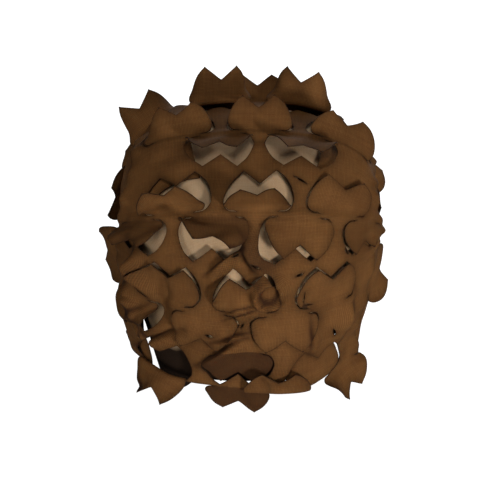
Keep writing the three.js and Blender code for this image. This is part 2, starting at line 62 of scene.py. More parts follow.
# the dome that every cloth lies on
dome = {
    "halfWidth": 118,
    "halfDepth": 128,
    "crownRise": 106,  # from the widest level up to the crown
    "planPower": 2.3,  # 2 is an ellipse, more is squarer
    "crownFront": 2.1,
    "crownSide": 3.0,
    "reachFront": 420,  # how far below the widest level the cloth would close
    "reachLeft": 320,
    "reachRight": 235,
    "skirtPower": 1.5,
}
middle = np.array([0.0, 0.0, -dome["crownRise"]])

# how the hanging scrim stands off the dome, none of it above start and all of it at end
slack = {
    "most": 5,
    "start": 66,
    "end": 236,
    "folds": [
        {"count": 5, "height": 3.0, "phase": 0.4, "slant": 0.0},
        {"count": 8, "height": 1.8, "phase": 2.0, "slant": 0.05},
        {"count": 3, "height": 1.6, "phase": 1.0, "slant": -0.13},
    ],
}

# the front of the centre panel moves to the left by this slope past the start
lean = {"start": 100, "slope": 0.105}

# small unevenness of the cloth, as a sum of waves over the flat sheet
ripple = {"seed": 7, "waves": 26, "shortest": 20, "longest": 90, "height": 0.75, "hemHeight": 1.5}


def unit(v):
    return v / np.linalg.norm(v, axis=-1, keepdims=True)


def lerp(a, b, share):
    return a + (b - a) * share


def smoothStep(x, low, high):
    share = np.clip((x - low) / (high - low), 0, 1)
    return share * share * (3 - 2 * share)


def domeRadius(way):
    x, y, z = np.moveaxis(way, -1, 0)
    power = dome["planPower"]
    across, along = np.abs(x) / dome["halfWidth"], np.abs(y) / dome["halfDepth"]
    plan = (across**power + along**power) ** (1 / power)
    sideways = x**2 / np.maximum(x**2 + y**2, tiny)
    reach = lerp(dome["reachFront"], np.where(x < 0, dome["reachLeft"], dome["reachRight"]), sideways)
    crown = lerp(dome["crownFront"], dome["crownSide"], sideways)
    power = np.where(z >= 0, crown, dome["skirtPower"])
    height = np.abs(z) / np.where(z >= 0, dome["crownRise"], reach)
    return (plan**power + height**power) ** (-1 / power)


def domePoint(way):
    return way * domeRadius(way)[..., None] + middle


def domeNormal(way, step=1e-3, nearCrown=0.9):
    side = unit(np.cross(way, np.where(np.abs(way[..., 2:]) < nearCrown, up, right)))
    along = np.cross(way, side)
    slopes = [domePoint(unit(way + axis * step)) - domePoint(unit(way - axis * step))
              for axis in (side, along)]
    normal = unit(np.cross(*slopes))
    return normal * np.sign(np.sum(normal * way, axis=-1, keepdims=True))


def standOff(way, depth):
    turn = np.arctan2(way[..., 0], -way[..., 1])
    folds = sum(
        fold["height"] * np.sin(fold["count"] * turn + fold["slant"] * depth + fold["phase"])
        for fold in slack["folds"]
    )
    return smoothStep(depth, slack["start"], slack["end"]) * (slack["most"] + folds)


def clothPoint(way, clearance, hangs, relief=0.0):
    point = domePoint(way)
    gap = clearance + relief + (standOff(way, -point[..., 2]) if hangs else 0.0)
    return point + domeNormal(way) * np.asarray(gap)[..., None]


# line from the crown straight down one side: length run, distance out, height
def meridian(downward, clearance, lowest=150, count=501):
    polar = np.radians(np.linspace(0, lowest, count))[1:, None]
    points = clothPoint(downward * np.sin(polar) + up * np.cos(polar), clearance, True)
    out = np.concatenate([[0], points @ downward])
    z = np.concatenate([[clearance], points[:, 2]])
    run = np.concatenate([[0], np.cumsum(np.hypot(np.diff(out), np.diff(z)))])
    return run, out, z


def waveSum(seed):
    rng = np.random.default_rng(seed)
    turn = rng.uniform(0, math.tau, ripple["waves"])
    length = rng.uniform(ripple["shortest"], ripple["longest"], ripple["waves"])
    phase = rng.uniform(0, math.tau, ripple["waves"])
    share = length / np.linalg.norm(length) * math.sqrt(2)

    def waves(p, q):
        total = 0.0
        for way, size, start, height in zip(turn, length, phase, share):
            along = p * math.cos(way) + q * math.sin(way)
            total = total + height * np.sin(along * math.tau / size + start)
        return total

    return waves


# painted shadow lies where a fold hangs over, this share of the fold's width across
foldShadowPaint = {"width": 0.45, "share": 1.0}

# soft ridges and troughs along short lines of the flat cloth, fading towards their ends;
# a ridge that leans hangs over to its right-hand side, seen along its run
creaseColumns = ("p", "q", "toP", "toQ", "height", "width", "lean")
creaseEnd = 0.15  # part of half a wave that a crease lacks at each end


# run of a row's line, how far along it each point is, and how far off it
def lineShare(row, p, q):
    run = np.array([row["toP"] - row["p"], row["toQ"] - row["q"]], float)
    share = np.clip(((p - row["p"]) * run[0] + (q - row["q"]) * run[1]) / (run @ run), 0, 1)
    off = np.hypot(p - row["p"] - share * run[0], q - row["q"] - share * run[1])
    return run, share, off


# height of the creases, how far each point slides over the cloth, and the painted shadow under what hangs
# over
def creaseRelief(rows, p, q):
    height, slide, paintedShadow = np.zeros(p.shape), np.zeros((*p.shape, 2)), np.zeros(p.shape)
    for row in rows:
        c = dict(zip(creaseColumns, row))
        run, share, off = lineShare(c, p, q)
        fade = np.sin(np.pi * (creaseEnd + (1 - 2 * creaseEnd) * share))
        form = np.exp(-((off / c["width"]) ** 2)) * fade
        height += c["height"] * form
        aside = unit(np.array([-run[1], run[0]])) * np.sign(c["lean"])
        slide += (abs(c["lean"]) * form)[..., None] * aside
        # painted shadow along the side that a leaning fold hangs over
        under = (p - c["p"]) * aside[0] + (q - c["q"]) * aside[1] - c["width"]
        ends = np.exp(-np.maximum(off - 2 * c["width"], 0))
        shadowBand = np.exp(-((under / (foldShadowPaint["width"] * c["width"])) ** 2))
        paintedShadow += shadowBand * fade * ends * abs(np.sign(c["lean"]))
    return height, slide, paintedShadow


# painted shade along a line, with how wide and how dark it is
shadeLineColumns = ("p", "q", "toP", "toQ", "width", "depth")


def shadeLinePaint(rows, p, q):
    paintedShadow = np.zeros(p.shape)
    for row in rows:
        c = dict(zip(shadeLineColumns, row))
        off = lineShare(c, p, q)[2]
        paintedShadow += c["depth"] * np.exp(-((off / c["width"]) ** 2))
    return paintedShadow


# round puckers, which lean towards their middle, with painted shadow under their lean
ringColumns = ("p", "q", "radius", "height", "width", "lean", "hollow")


def ringRelief(rows, p, q):
    height, slide, paintedShadow = np.zeros(p.shape), np.zeros((*p.shape, 2)), np.zeros(p.shape)
    for row in rows:
        c = dict(zip(ringColumns, row))
        way = np.stack([p - c["p"], q - c["q"]], axis=-1)
        far = np.linalg.norm(way, axis=-1)
        form = np.exp(-(((far - c["radius"]) / c["width"]) ** 2))
        height += c["height"] * form - c["hollow"] * np.exp(-((far / c["radius"]) ** 2))
        slide -= way / np.maximum(far, tiny)[..., None] * (c["lean"] * form)[..., None]
        # painted shadow just inside the ring, under its lean
        under = far - c["radius"] + c["width"]
        paintedShadow += np.exp(-((under / (foldShadowPaint["width"] * c["width"])) ** 2))
    return height, slide, paintedShadow


# what the eye sees only from near: pleats and puckers
def fineRelief(panel, p, q):
    pleats, rings = creaseRelief(panel["pleats"], p, q), ringRelief(panel["rings"], p, q)
    return [pleat + ring for pleat, ring in zip(pleats, rings)]


# painted shade of a panel: painted shadow under its folds and puckers, and its lines of painted shade
def paintedShadeOf(panel, p, q):
    paintedShadow = creaseRelief(panel["creases"], p, q)[2] + fineRelief(panel, p, q)[2]
    return np.clip(foldShadowPaint["share"] * paintedShadow + shadeLinePaint(panel["shadeLines"], p, q), 0, 1)


# loose side edges of the centre panel stand off in two waves, given by share and turn to a millimetre
looseEdge = {"most": 4.5, "width": 16, "level": 0.5, "long": (0.3, 0.085), "short": (0.2, 0.217)}


def edgeLift(panel, p, q):
    if panel["overEar"]:
        return 0.0
    low, high = limits(panel, q)
    inward = np.minimum(p - low, high - p)
    (longShare, longTurn), (shortShare, shortTurn) = looseEdge["long"], looseEdge["short"]
    waves = looseEdge["level"] + longShare * np.sin(longTurn * q + np.sign(p))
    waves = waves + shortShare * np.sin(shortTurn * q)
    return looseEdge["most"] * waves * (1 - smoothStep(inward, 0, looseEdge["width"]))


# lower down and away from the side panels there is more room under the centre panel
lowRoom = {
    "steps": [(1.6, 140, 180), (2.0, 220, 260)],  # depth, and where along the panel it begins and is full
    "ends": (70, 85),  # where it fades towards the sides
}


def lowSink(panel, p, q):
    if panel["overEar"]:
        return 0.0
    room = sum(depth * smoothStep(q, start, full) for depth, start, full in lowRoom["steps"])
    return room * (1 - smoothStep(np.abs(p), *lowRoom["ends"]))


# where a point (p, q) of a panel's flat cloth lies: p to the right, q to the front
def placer(panel):
    overEar = panel["overEar"]
    clearance = panel["clearance"]
    radius = clearance + dome["halfDepth" if overEar else "halfWidth"]
    ahead, aside = (right, front) if overEar else (front, right)
    lines = {sign: meridian(ahead * sign, clearance) for sign in (-1, 1)}
    waves = waveSum(ripple["seed"] + len(panel["name"]))

    def place(p, q, uneven=True):
        p, q = np.broadcast_arrays(np.asarray(p, float), np.asarray(q, float))
        flatP, flatQ = p, q
        if uneven:
            folds, slide, _ = creaseRelief(panel["creases"], p, q)
            fine, fineSlide, _ = fineRelief(panel, p, q)
            p, q = p + slide[..., 0] + fineSlide[..., 0], q + slide[..., 1] + fineSlide[..., 1]
        run, across = (p, q) if overEar else (q, p - lean["slope"] * np.maximum(q - lean["start"], 0))
        rear, fore = lines[-1], lines[1]
        out = np.where(run < 0, -np.interp(-run, rear[0], rear[1]), np.interp(run, fore[0], fore[1]))
        z = np.where(run < 0, np.interp(-run, rear[0], rear[2]), np.interp(run, fore[0], fore[2]))
        base = ahead * out[..., None] + up * z[..., None]
        fall = base - middle
        fall[..., 2] = np.maximum(fall[..., 2], 0)
        turn = across / radius
        base = base + aside * (radius * np.sin(turn))[..., None]
        base = base + unit(fall) * (radius * (np.cos(turn) - 1))[..., None]
        relief = 0.0
        if uneven:
            hang = smoothStep(-z, slack["start"], slack["end"])
            height = lerp(ripple["height"], ripple["hemHeight"], hang)
            relief = height * waves(flatP, flatQ) + folds + fine + edgeLift(panel, flatP, flatQ)
            relief = np.maximum(relief, -panel["sinkLimit"] - lowSink(panel, p, q))
        return clothPoint(unit(base - middle), clearance, True, relief)

    return place


# cut pattern: bands of two-pointed leaves, every second line between bands is a line of hinges
cutPattern = {
    "pitch": 74,
    "band": 45,
    "firstLine": 43,
    "foreCentre": 47.5,
    "hingeInset": 2,
    "kerf": 0.9,
    "margin": 4,
    "fold": 9,  # length over which a leaf turns out of the cloth
    "notch": 27,
    "side": [(18.5, 0), (27, 1.5), (31.5, 10), (29.5, 21), (24, 31.5), (15.5, 40)],  # half width, rise
    "pointBulge": 1.1,
    "step": 2.6,  # between points of a cut
}
leafLength = cutPattern["side"][-1][1]
leafHalf = max(half for half, rise in cutPattern["side"])
leafHinge = cutPattern["side"][0][0]

# how a leaf's shape builds up, with pairs of distances from its hinge where a form begins and is full
leafForm = {
    "lobeStart": 0.25,  # share of the half width inside which a lobe doesn't turn
    "lobe": (3, 20),
    "ripple": (5, 25),
    "rippleTurn": (0.16, 0.11),  # to a millimetre across and along
    "relief": (1, 8),
    "turnSteps": 16,  # from the middle of a leaf out to a point
    "bendSteps": 200,  # from the hinge to the points
}
lobeStart = leafForm["lobeStart"] * leafHalf

# how standing leaves turn, in degrees, with the turn of the left and right lobe,
# and the ripple of the edge in millimetres
leafColumns = ("band", "column", "lift", "curl", "twist", "roll", "left", "right", "wavy")
# a leaf that lies in its hole: rise of its points, tilt of its right side, and ripple, in millimetres
lyingColumns = ("band", "column", "rise", "tilt", "wavy")
anyLeaf = {"lift": (12, 56), "curl": (-24, -6), "twist": (-10, 10), "roll": (4, 18)}
anyLobe = (-10, 45)
shuffle = {"band": 12.9898, "column": 78.233, "measure": 37.719, "spread": 43758.5453}
measures = {"left": 5, "right": 6, "ripple": 7}  # which draw of a leaf's chances each one is

centrePanel = {
    "name": "scrim_centre",
    "clearance": 8.8,
    "sinkLimit": 1.6,
    "overEar": False,
    "allLeaves": True,
    "hems": [(-8, -1, 1), (6, -1, 1)],  # line, first and last column
    "edges": [  # line, low, high
        (-8, -130, 132),
        (-5, -130, 132),
        (-3, -80, 92),
        (-2, -66, 86),
        (-1, -101, 122),
        (0, -105, 123),
        (1, -118, 126),
        (2, -139, 160),
        (3, -139, 162),
        (4, -139, 142),
        (5, -139, 138),
        (6, -143, 146),
    ],
    "leaves": [
        (-3, 0, 54, -14, -5, 8, 13, 26, 1.0),
        (-2, -1, 104, -12, 4, 10, 45, 78, 1.2),
        (-2, 0, 98, -8, -14, 16, 82, 60, 1.2),
        (-1, -1, 34, -12, -6, 8, -55, 12, 0.8),
        (-1, 0, 40, -8, 2, 6, 13, 13, 0.8),
        (-1, 1, 30, -10, 8, 10, 13, 26, 0.9),
        (0, -1, 40, -38, 3, 6, 26, 13, 1.2),
        (0, 0, 38, -36, -7, 8, 13, 26, 1.2),
        (1, -1, 72, -12, -12, 12, 55, 13, 1.0),
        (1, 0, 83, -12, -2, 14, 13, 26, 0.8),
        (2, -2, 48, -14, -14, -2, 10, 10, 1.8),
        (2, -1, 62, -26, -24, 14, 40, -30, 1.8),
        (2, 0, 20, -20, -7, 2, 14, 12, 0.8),
        (3, 0, 19, -12, -12, 2, 16, -10, 1.8),
        (4, -2, 30, -44, 10, 34, 40, 50, 1.4),
        (5, -1, 150, 6, -4, 6, 26, 13, 1.4),
        (6, -1, -20, 24, 0, -4, 0, 0, 1.0),
        (6, 0, 176, 4, 0, 2, 8, 8, 1.0),
        (6, 1, 46, -16, -12, 26, 26, 26, 1.4),
    ],
    "lying": [
        (1, 1, 6, 3, 0.6),
        (2, 1, 5, 0, 0.6),
        (3, -1, 5, 1, 0.6),
        (3, 1, 5, -1, 0.7),
        (4, -1, 7, -1, 0.9),
        (4, 0, 8, 1, 0.9),
        (5, 0, -4, 0, 0.4),
        (5, 1, -5, 2, 0.4),
    ],
    # turned hangs on the other line of the band, aside moves along the hem, fold is the bend's length,
    # shade is painted shade over a leaf that lies in shade
    "special": {
        (2, -2): {"shade": 0.3},
        (2, -1): {"shade": 0.35},
        (5, 0): {"turned": True, "shade": 0.75},
        (6, -1): {"aside": 37, "fold": 3, "shade": 0.65},
        (6, 0): {"fold": 8},
    },
    "creases": [
        (-96, 170, -100, 225, 8, 9, 6),  # upright folds down the left
        (-70, 195, -68, 245, -6, 8, 0),
        (-50, 262, -90, 298, 9, 8, 8),  # fold above the lower left gap
        (-46, 250, -84, 282, -6, 6, 0),
        (7, 152, 24, 178, 11, 9, 9),  # ridge above the ring
        (-6, 165, 8, 190, -6, 7, 0),
        (4, 167, -22, 187, 9, 5, 7),
        (6, 180, -22, 201, -5, 5, 0),
        (10, 262, -20, 287, 9, 6, 8),
        (107, 228, 104, 262, 7, 9, -6),  # upright folds down the right
        (76, 232, 80, 268, 6, 6, 4),
    ],
    "pleats": [
        (23, 214, -6, 225, 6, 2.8, 5),  # slanting, below the middle
        (26, 219, -4, 233, 6, 3.4, 5),
        (24, 232, -4, 248, -4, 4, 0),
        (16, 250, -12, 257, 6, 4, 5),
        (14, 256, -14, 264, -4, 4, 0),
        (-104, 185, -82, 215, 7, 5, 6),  # crumples down the left side
        (-112, 215, -90, 246, 7, 5, 6),
        (-84, 238, -112, 262, 7, 5, 6),
        (-100, 262, -76, 285, 6, 5, -5),
        (-110, 133, 120, 133, 3.5, 6, 0),  # the cloth stands out along its hinge lines
        (-100, 223, 120, 223, 3.5, 6, 0),
        (-80, 43, 100, 43, 2, 6, 0),
    ],
    "rings": [(31, 202, 12, 9, 4, 5, 4)],
    # painted shade on the ridge above the ring, below the raised leaf and down the shaded left side
    "shadeLines": [
        (4, 150, 27, 177, 8, 0.5),  # along the ridge above the ring
        (-60, 172, -20, 178, 8, 0.25),  # below the raised leaf
        (-112, 150, -106, 200, 12, 0.3),  # left side
        (-104, 240, -80, 262, 8, 0.35),
    ],
    "nicks": [  # from, to, width
        (40, 96, 52, 103, 1.8),
        (51, 302, 57, 308, 1.8),
        (94, 252, 97, 261, 1.8),
        (95, 166, 100, 173, 1.8),
        (16, 169, 23, 175, 2.6),
        (-4, 174, 2, 169, 2.0),
        (51, 189, 58, 186, 2.2),
        (-23, 247, -16, 249, 2.6),
        (9, 235, 8, 243, 2.2),
        (60, 203, 61, 216, 0.8),
        (61, 217, 69, 217.5, 0.8),
    ],
}

sidePanel = {
    "clearance": 4.8,
    "sinkLimit": 1.2,
    "overEar": True,
    "allLeaves": False,
    "hems": [],
    "lying": [],
    "special": {},
    "creases": [],
    "pleats": [],
    "rings": [],
    "shadeLines": [],
    "nicks": [],
}

leftPanel = {
    **sidePanel,
    "name": "scrim_left",
    "edges": [(-3, -306, -56), (1, -306, -56)],
    "leaves": [
        (-3, -2, 42, -14, 4, 8, 13, 13, 1.0),
        (-3, -3, 40, -22, -6, 10, 13, 26, 1.0),
        (-2, -2, 110, -8, 26, 20, 60, 80, 1.4),
        (-2, -3, 18, -14, -4, 6, 13, 0, 0.8),
        (-2, -4, 20, -18, 4, 8, 13, 13, 0.8),
        (-1, -3, 34, -20, 8, 12, 26, 13, 1.2),
    ],
}

rightPanel = {
    **sidePanel,
    "name": "scrim_right",
    "edges": [(-3, 72, 306), (1, 72, 306)],
    "leaves": [
        (-3, 2, 52, -20, 14, 20, 30, 50, 1.4),
        (-3, 3, 24, -22, 6, 8, 26, 13, 1.0),
        (-2, 2, 10, -14, 5, 4, 13, 0, 0.8),
        (-1, 3, 15, -12, 20, 6, 13, 13, 1.0),
    ],
}


def lineAt(line):
    return cutPattern["firstLine"] + cutPattern["band"] * line


def cellOf(band, column, stance):
    even = band % 2 == 0
    fore = even != ("turned" in stance)
    stagger = 0 if even else cutPattern["pitch"] / 2
    centre = cutPattern["foreCentre"] + cutPattern["pitch"] * column - stagger + stance.get("aside", 0)
    hinge = lineAt(band if fore else band + 1)
    return {"band": band, "column": column, "sign": 1 if fore else -1, "centre": centre, "hinge": hinge}


def flatOf(cell, points):
    return np.stack([cell["centre"] + points[:, 0], cell["hinge"] + cell["sign"] * points[:, 1]], axis=1)


def limits(panel, q):
    line = (np.asarray(q, float) - cutPattern["firstLine"]) / cutPattern["band"]
    lines, lows, highs = np.array(panel["edges"], float).T
    return np.interp(line, lines, lows), np.interp(line, lines, highs)


# even points along a polyline
def spaced(points, step):
    points = np.asarray(points, float)
    run = np.concatenate([[0], np.cumsum(np.linalg.norm(np.diff(points, axis=0), axis=1))])
    count = max(2, round(run[-1] / step) + 1)
    at = np.linspace(0, run[-1], count)
    return np.stack([np.interp(at, run, points[:, k]) for k in (0, 1)], axis=1)


def smoothCurve(points, perSpan=12):
    points = np.asarray(points, float)
    ends = np.concatenate([[2 * points[0] - points[1]], points, [2 * points[-1] - points[-2]]])
    t = np.linspace(0, 1, perSpan, endpoint=False)[:, None]
    curve = []
    for a, b, c, d in zip(ends, ends[1:], ends[2:], ends[3:]):
        cubic = 2 * b + (c - a) * t + (2 * a - 5 * b + 4 * c - d) * t**2 + (3 * b - a - 3 * c + d) * t**3
        curve.append(cubic / 2)
    return np.concatenate([*curve, points[-1:]])


# outline of a leaf from its right hinge end round to its left one, in places across and over the hinge
def leafOutline(kerf, pointSteps=9):
    step = cutPattern["step"]
    side = spaced(smoothCurve(cutPattern["side"]), step)
    tip, notch = side[-1], np.array([0.0, cutPattern["notch"]])
    bulge = unit(np.array([tip[1] - notch[1], tip[0] - notch[0]])) * cutPattern["pointBulge"]
    t = np.linspace(0, 1, pointSteps)[:, None]
    point = spaced(tip + (notch - tip) * t + bulge * np.sin(np.pi * t), step)
    half = np.concatenate([side, point[1:]])
    outline = np.concatenate([half, half[-2::-1] * [-1, 1]])
    if kerf:
        along = np.gradient(outline, axis=0)
        outline[1:-1] += unit(np.stack([-along[:, 1], along[:, 0]], axis=1))[1:-1] * kerf
    return outline


def insideRing(points, ring):
    found = np.zeros(len(points), bool)
    low, high = ring.min(0), ring.max(0)
    near = np.flatnonzero(np.all((points >= low) & (points <= high), axis=1))
    x, y = points[near].T[:, :, None]
    a, b = ring, np.roll(ring, -1, axis=0)
    crosses = (a[:, 1] > y) != (b[:, 1] > y)
    rise = b[:, 1] - a[:, 1]
    at = a[:, 0] + (y - a[:, 1]) * (b[:, 0] - a[:, 0]) / np.where(rise == 0, tiny, rise)
    found[near] = np.sum(crosses & (x < at), axis=1) % 2 == 1
    return found


def chance(band, column, measure):
    x = math.sin(band * shuffle["band"] + column * shuffle["column"] + measure * shuffle["measure"])
    return x * shuffle["spread"] - math.floor(x * shuffle["spread"])


def stanceOf(panel, band, column):
    for columns, rows in ((leafColumns, panel["leaves"]), (lyingColumns, panel["lying"])):
        for row in rows:
            if row[:2] == (band, column):
                return {**dict(zip(columns, row)), **panel["special"].get(row[:2], {})}
    if not panel["allLeaves"]:
        return None
    stance = {"wavy": 1.0}
    for i, (name, span) in enumerate(anyLeaf.items()):
        stance[name] = lerp(*span, chance(band, column, i))
    for name in ("left", "right"):
        stance[name] = lerp(*anyLobe, chance(band, column, measures[name]))
    return stance


# every leaf that fits on the panel, with the inset of its hinge from the hinge line
def leavesOf(panel):
    first, last = panel["edges"][0][0], panel["edges"][-1][0]
    pitch, band = cutPattern["pitch"], cutPattern["band"]
    furthest = math.ceil(max(max(-low, high) for line, low, high in panel["edges"]) / pitch) + 1
    corners = np.array([(k * pitch / 4, b) for k in range(-2, 3) for b in (0, band / 2, band)])
    hole = leafOutline(0) + [0, cutPattern["hingeInset"]]

    def fits(flat, margin):
        low, high = limits(panel, flat[:, 1])
        return np.all((flat[:, 0] >= low + margin - tiny) & (flat[:, 0] <= high - margin + tiny))

    found = []
    for bandIndex in range(first, last):
        for column in range(-furthest, furthest + 1):
            stance = stanceOf(panel, bandIndex, column)
            if not stance:
                continue
            cell = cellOf(bandIndex, column, stance)
            if fits(flatOf(cell, corners), 0) and fits(flatOf(cell, hole), cutPattern["margin"]):
                found.append({**cell, "stance": stance, "inset": cutPattern["hingeInset"]})
    for line, firstColumn, lastColumn in panel["hems"]:
        hemBand = line if line == last else line - 1
        for column in range(firstColumn, lastColumn + 1):
            stance = stanceOf(panel, hemBand, column)
            found.append({**cellOf(hemBand, column, stance), "stance": stance, "inset": 0})
    return found


# ripple over the free end of a leaf
def leafRipple(leaf):
    wavy = leaf["stance"]["wavy"]
    phase = math.tau * chance(leaf["band"], leaf["column"], measures["ripple"])
    turnAcross, turnAlong = leafForm["rippleTurn"]

    def waves(a, b):
        return wavy * np.sin(turnAcross * a + turnAlong * b + phase) * smoothStep(b, *leafForm["ripple"])

    return waves


# places the points (a, b) of a leaf that lies in its hole and rises a little towards its points
def lyingPlacer(place, leaf):
    stance, sign = leaf["stance"], leaf["sign"]
    p, q = leaf["centre"], leaf["hinge"] + sign * leaf["inset"]
    waves = leafRipple(leaf)

    def put(a, b):
        point = place(p + a, q + sign * b)
        rise = (stance["rise"] + stance["tilt"] * a / leafHalf) * np.clip(b / leafLength, 0, 1)
        rise = rise + waves(a, b)
        return point + domeNormal(unit(point - middle)) * rise[:, None]

    return put


# the same for a leaf that bends out of the cloth at its hinge and then curls
def standingPlacer(place, leaf, panel, step=0.5):
    stance, inset, sign = leaf["stance"], leaf["inset"], leaf["sign"]
    p, q = leaf["centre"], leaf["hinge"] + sign * inset
    at = place(p, q, False)
    across = (place(p + step, q, False) - place(p - step, q, False)) / (2 * step)
    over = (place(p, q + sign * step, False) - place(p, q - sign * step, False)) / (2 * step)
    stretch, narrow = min(1, np.linalg.norm(over)), min(1, np.linalg.norm(across))
    across = unit(across)
    over = unit(over - across * (over @ across))
    out = np.cross(over, across) * sign

    fine = np.linspace(0, leafLength, leafForm["bendSteps"] + 1)
    mid = (fine[1:] + fine[:-1]) / 2
    angle = np.radians(
        stance["lift"] * np.clip(mid / stance.get("fold", cutPattern["fold"]), 0, 1)
        + stance["curl"] * mid / leafLength
    )
    along = np.concatenate([[0], np.cumsum(np.cos(angle))]) * fine[1]
    lifted = np.concatenate([[0], np.cumsum(np.sin(angle))]) * fine[1]
    roll = math.radians(stance["roll"]) / leafHalf
    twist = math.tan(math.radians(stance["twist"]))
    waves = leafRipple(leaf)
    turnSteps = leafForm["turnSteps"]

    def put(a, b):
        share = np.clip(b / leafLength, 0, 1)
        steps = a[:, None] * (np.arange(turnSteps) + 0.5) / turnSteps
        lobe = np.radians(np.where(a < 0, -stance["left"], stance["right"]))
        lobe = lobe * smoothStep(b, *leafForm["lobe"])
        outward = np.clip((np.abs(steps) - lobeStart) / (leafHalf - lobeStart), 0, None)
        turns = (roll * share)[:, None] * steps + lobe[:, None] * outward
        wide, rise = a * np.cos(turns).mean(axis=1), a * np.sin(turns).mean(axis=1)
        rise = rise + twist * a * share + waves(a, b)
        rise = rise + fineRelief(panel, p + a, q + sign * b)[0] * smoothStep(b, *leafForm["relief"])
        turned = np.interp(b, mid, angle)
        normal = out * np.cos(turned)[:, None] - over * np.sin(turned)[:, None]
        hinge = place(p + a, q) - at - across * (a * narrow)[:, None]
        return (
            at
            + hinge * (1 - share)[:, None]
            + across * (narrow * wide)[:, None]
            + over * (stretch * np.interp(b, fine, along))[:, None]
            + out * (stretch * np.interp(b, fine, lifted))[:, None]
            + normal * rise[:, None]
        )

    return put


# the triangles' grid keeps a share of its step away from the cuts
scrim = {"thickness": 0.8, "gridStep": 2.1, "gridClear": 0.55}


# squared distance of each point from the nearest of the others, in parts to save memory
def nearestSquare(points, others, parts=250):
    return np.concatenate([
        np.min(np.sum((part[:, None] - others) ** 2, axis=2), axis=1)
        for part in np.array_split(points, parts)
    ])


# triangles between lines on the flat cloth, with a grid of points inside the covered ring
def fillFlat(lines, covered):
    gridStep = scrim["gridStep"]
    points, edges = [], []
    for line, closed in lines:
        start, count = len(points), len(line)
        points.extend(line)
        edges.extend((start + i, start + i + 1) for i in range(count - 1))
        if closed:
            edges.append((start + count - 1, start))
    low, high = np.min(points, axis=0), np.max(points, axis=0)
    rows = np.arange(low[1], high[1], gridStep * math.sqrt(0.75))
    columns = np.arange(low[0], high[0], gridStep)
    grid = np.concatenate([
        np.stack([columns + gridStep / 2 * (i % 2), np.full(len(columns), q)], axis=1)
        for i, q in enumerate(rows)
    ])
    grid = grid[insideRing(grid, covered)]
    grid = grid[nearestSquare(grid, np.array(points)) > (scrim["gridClear"] * gridStep) ** 2]
    flat = [Vector(point) for point in (*points, *grid)]
    places, _, faces, *_ = delaunay_2d_cdt(flat, edges, [], 0, nearly / 10)
    places, faces = np.array([tuple(v) for v in places]), np.array(faces)
    return places, faces[insideRing(places[faces].mean(axis=1), covered)]


# flat outline of a panel, with the hinge ends of its hem leaves among its points
def panelOutline(panel, leaves):
    step = cutPattern["step"]
    lines = np.array([lineAt(line) for line, low, high in panel["edges"]])
    lows = np.stack([[low for line, low, high in panel["edges"]], lines], axis=1)
    highs = np.stack([[high for line, low, high in panel["edges"]], lines], axis=1)
    hems = []
    for low, high in ((lows[0], highs[0]), (lows[-1], highs[-1])):
        ends = [[leaf["centre"] + s * leafHinge, low[1]] for leaf in leaves for s in (-1, 1)
                if leaf["inset"] == 0 and leaf["hinge"] == low[1]]
        stops = np.array(sorted([low, *ends, high], key=lambda stop: stop[0]), float)
        pieces = [spaced([a, b], step)[:-1] for a, b in zip(stops, stops[1:]) if b[0] - a[0] > tiny]
        hems.append(np.concatenate([*pieces, stops[-1:]]))
    rightSide, leftSide = spaced(highs, step)[:-1], spaced(lows, step)[:0:-1]
    return np.concatenate([hems[0][:-1], rightSide, hems[1][:0:-1], leftSide])


# short slits, open a little in the middle
def nickRings(panel, count=6):
    rings = []
    for p, q, toP, toQ, width in panel["nicks"]:
        along = np.array([toP - p, toQ - q], float)
        aside = unit(np.array([-along[1], along[0]])) * width / 2
        t = np.linspace(0, 1, count)[:, None]
        slit, gape = [p, q] + along * t, aside * np.sin(np.pi * t)
        rings.append(np.concatenate([slit + gape, (slit - gape)[-2:0:-1]]))
    return rings


# flat triangles of a panel with its cuts, and which leaf each triangle is in
def flatSheet(panel, leaves):
    outline = panelOutline(panel, leaves)
    nicks = nickRings(panel)
    lines = [(outline, True), *((nick, True) for nick in nicks)]
    holes, tongues = [], []
    for leaf in leaves:
        lift = np.array([0, leaf["inset"]])
        holes.append(flatOf(leaf, leafOutline(0) + lift))
        tongue = flatOf(leaf, leafOutline(cutPattern["kerf"]) + lift)
        hinge = flatOf(leaf, spaced([(-leafHinge, 0), (leafHinge, 0)], cutPattern["step"]) + lift)
        tongues.append(np.concatenate([tongue, hinge[1:-1]]))
        if leaf["inset"]:
            lines += [(holes[-1], False), (hinge, False), (tongue, False)]
    places, faces = fillFlat(lines, outline)
    centres = places[faces].mean(axis=1)
    kept = np.ones(len(faces), bool)
    owner = np.full(len(faces), -1)
    for i, leaf in enumerate(leaves):
        if leaf["inset"]:
            kept &= ~insideRing(centres, holes[i])
            owner[insideRing(centres, tongues[i])] = i
    kept |= owner >= 0
    for nick in nicks:
        kept &= ~insideRing(centres, nick)
    faces, owner = faces[kept], owner[kept]

    # leaves below a hem are cut apart, and share the points of their hinge
    for i, leaf in enumerate(leaves):
        if leaf["inset"]:
            continue
        spots, corners = fillFlat([(tongues[i], True)], tongues[i])
        known = np.arange(len(spots)) + len(places)
        for k in np.flatnonzero(np.abs(spots[:, 1] - leaf["hinge"]) < nearly):
            known[k] = np.argmin(np.sum((places - spots[k]) ** 2, axis=1))
        places = np.concatenate([places, spots])
        faces = np.concatenate([faces, known[corners]])
        owner = np.concatenate([owner, np.full(len(corners), i)])
    return places, faces, owner


# painted shade darkens the cloth towards a cut, over this many millimetres
edgeShade = {"width": 3.5, "share": 0.45}
sharpAngle = 50  # edges that turn more than this are shaded sharp


def faceCross(points, faces):
    a, b, c = (points[faces[:, k]] for k in range(3))
    return np.cross(b - a, c - a)
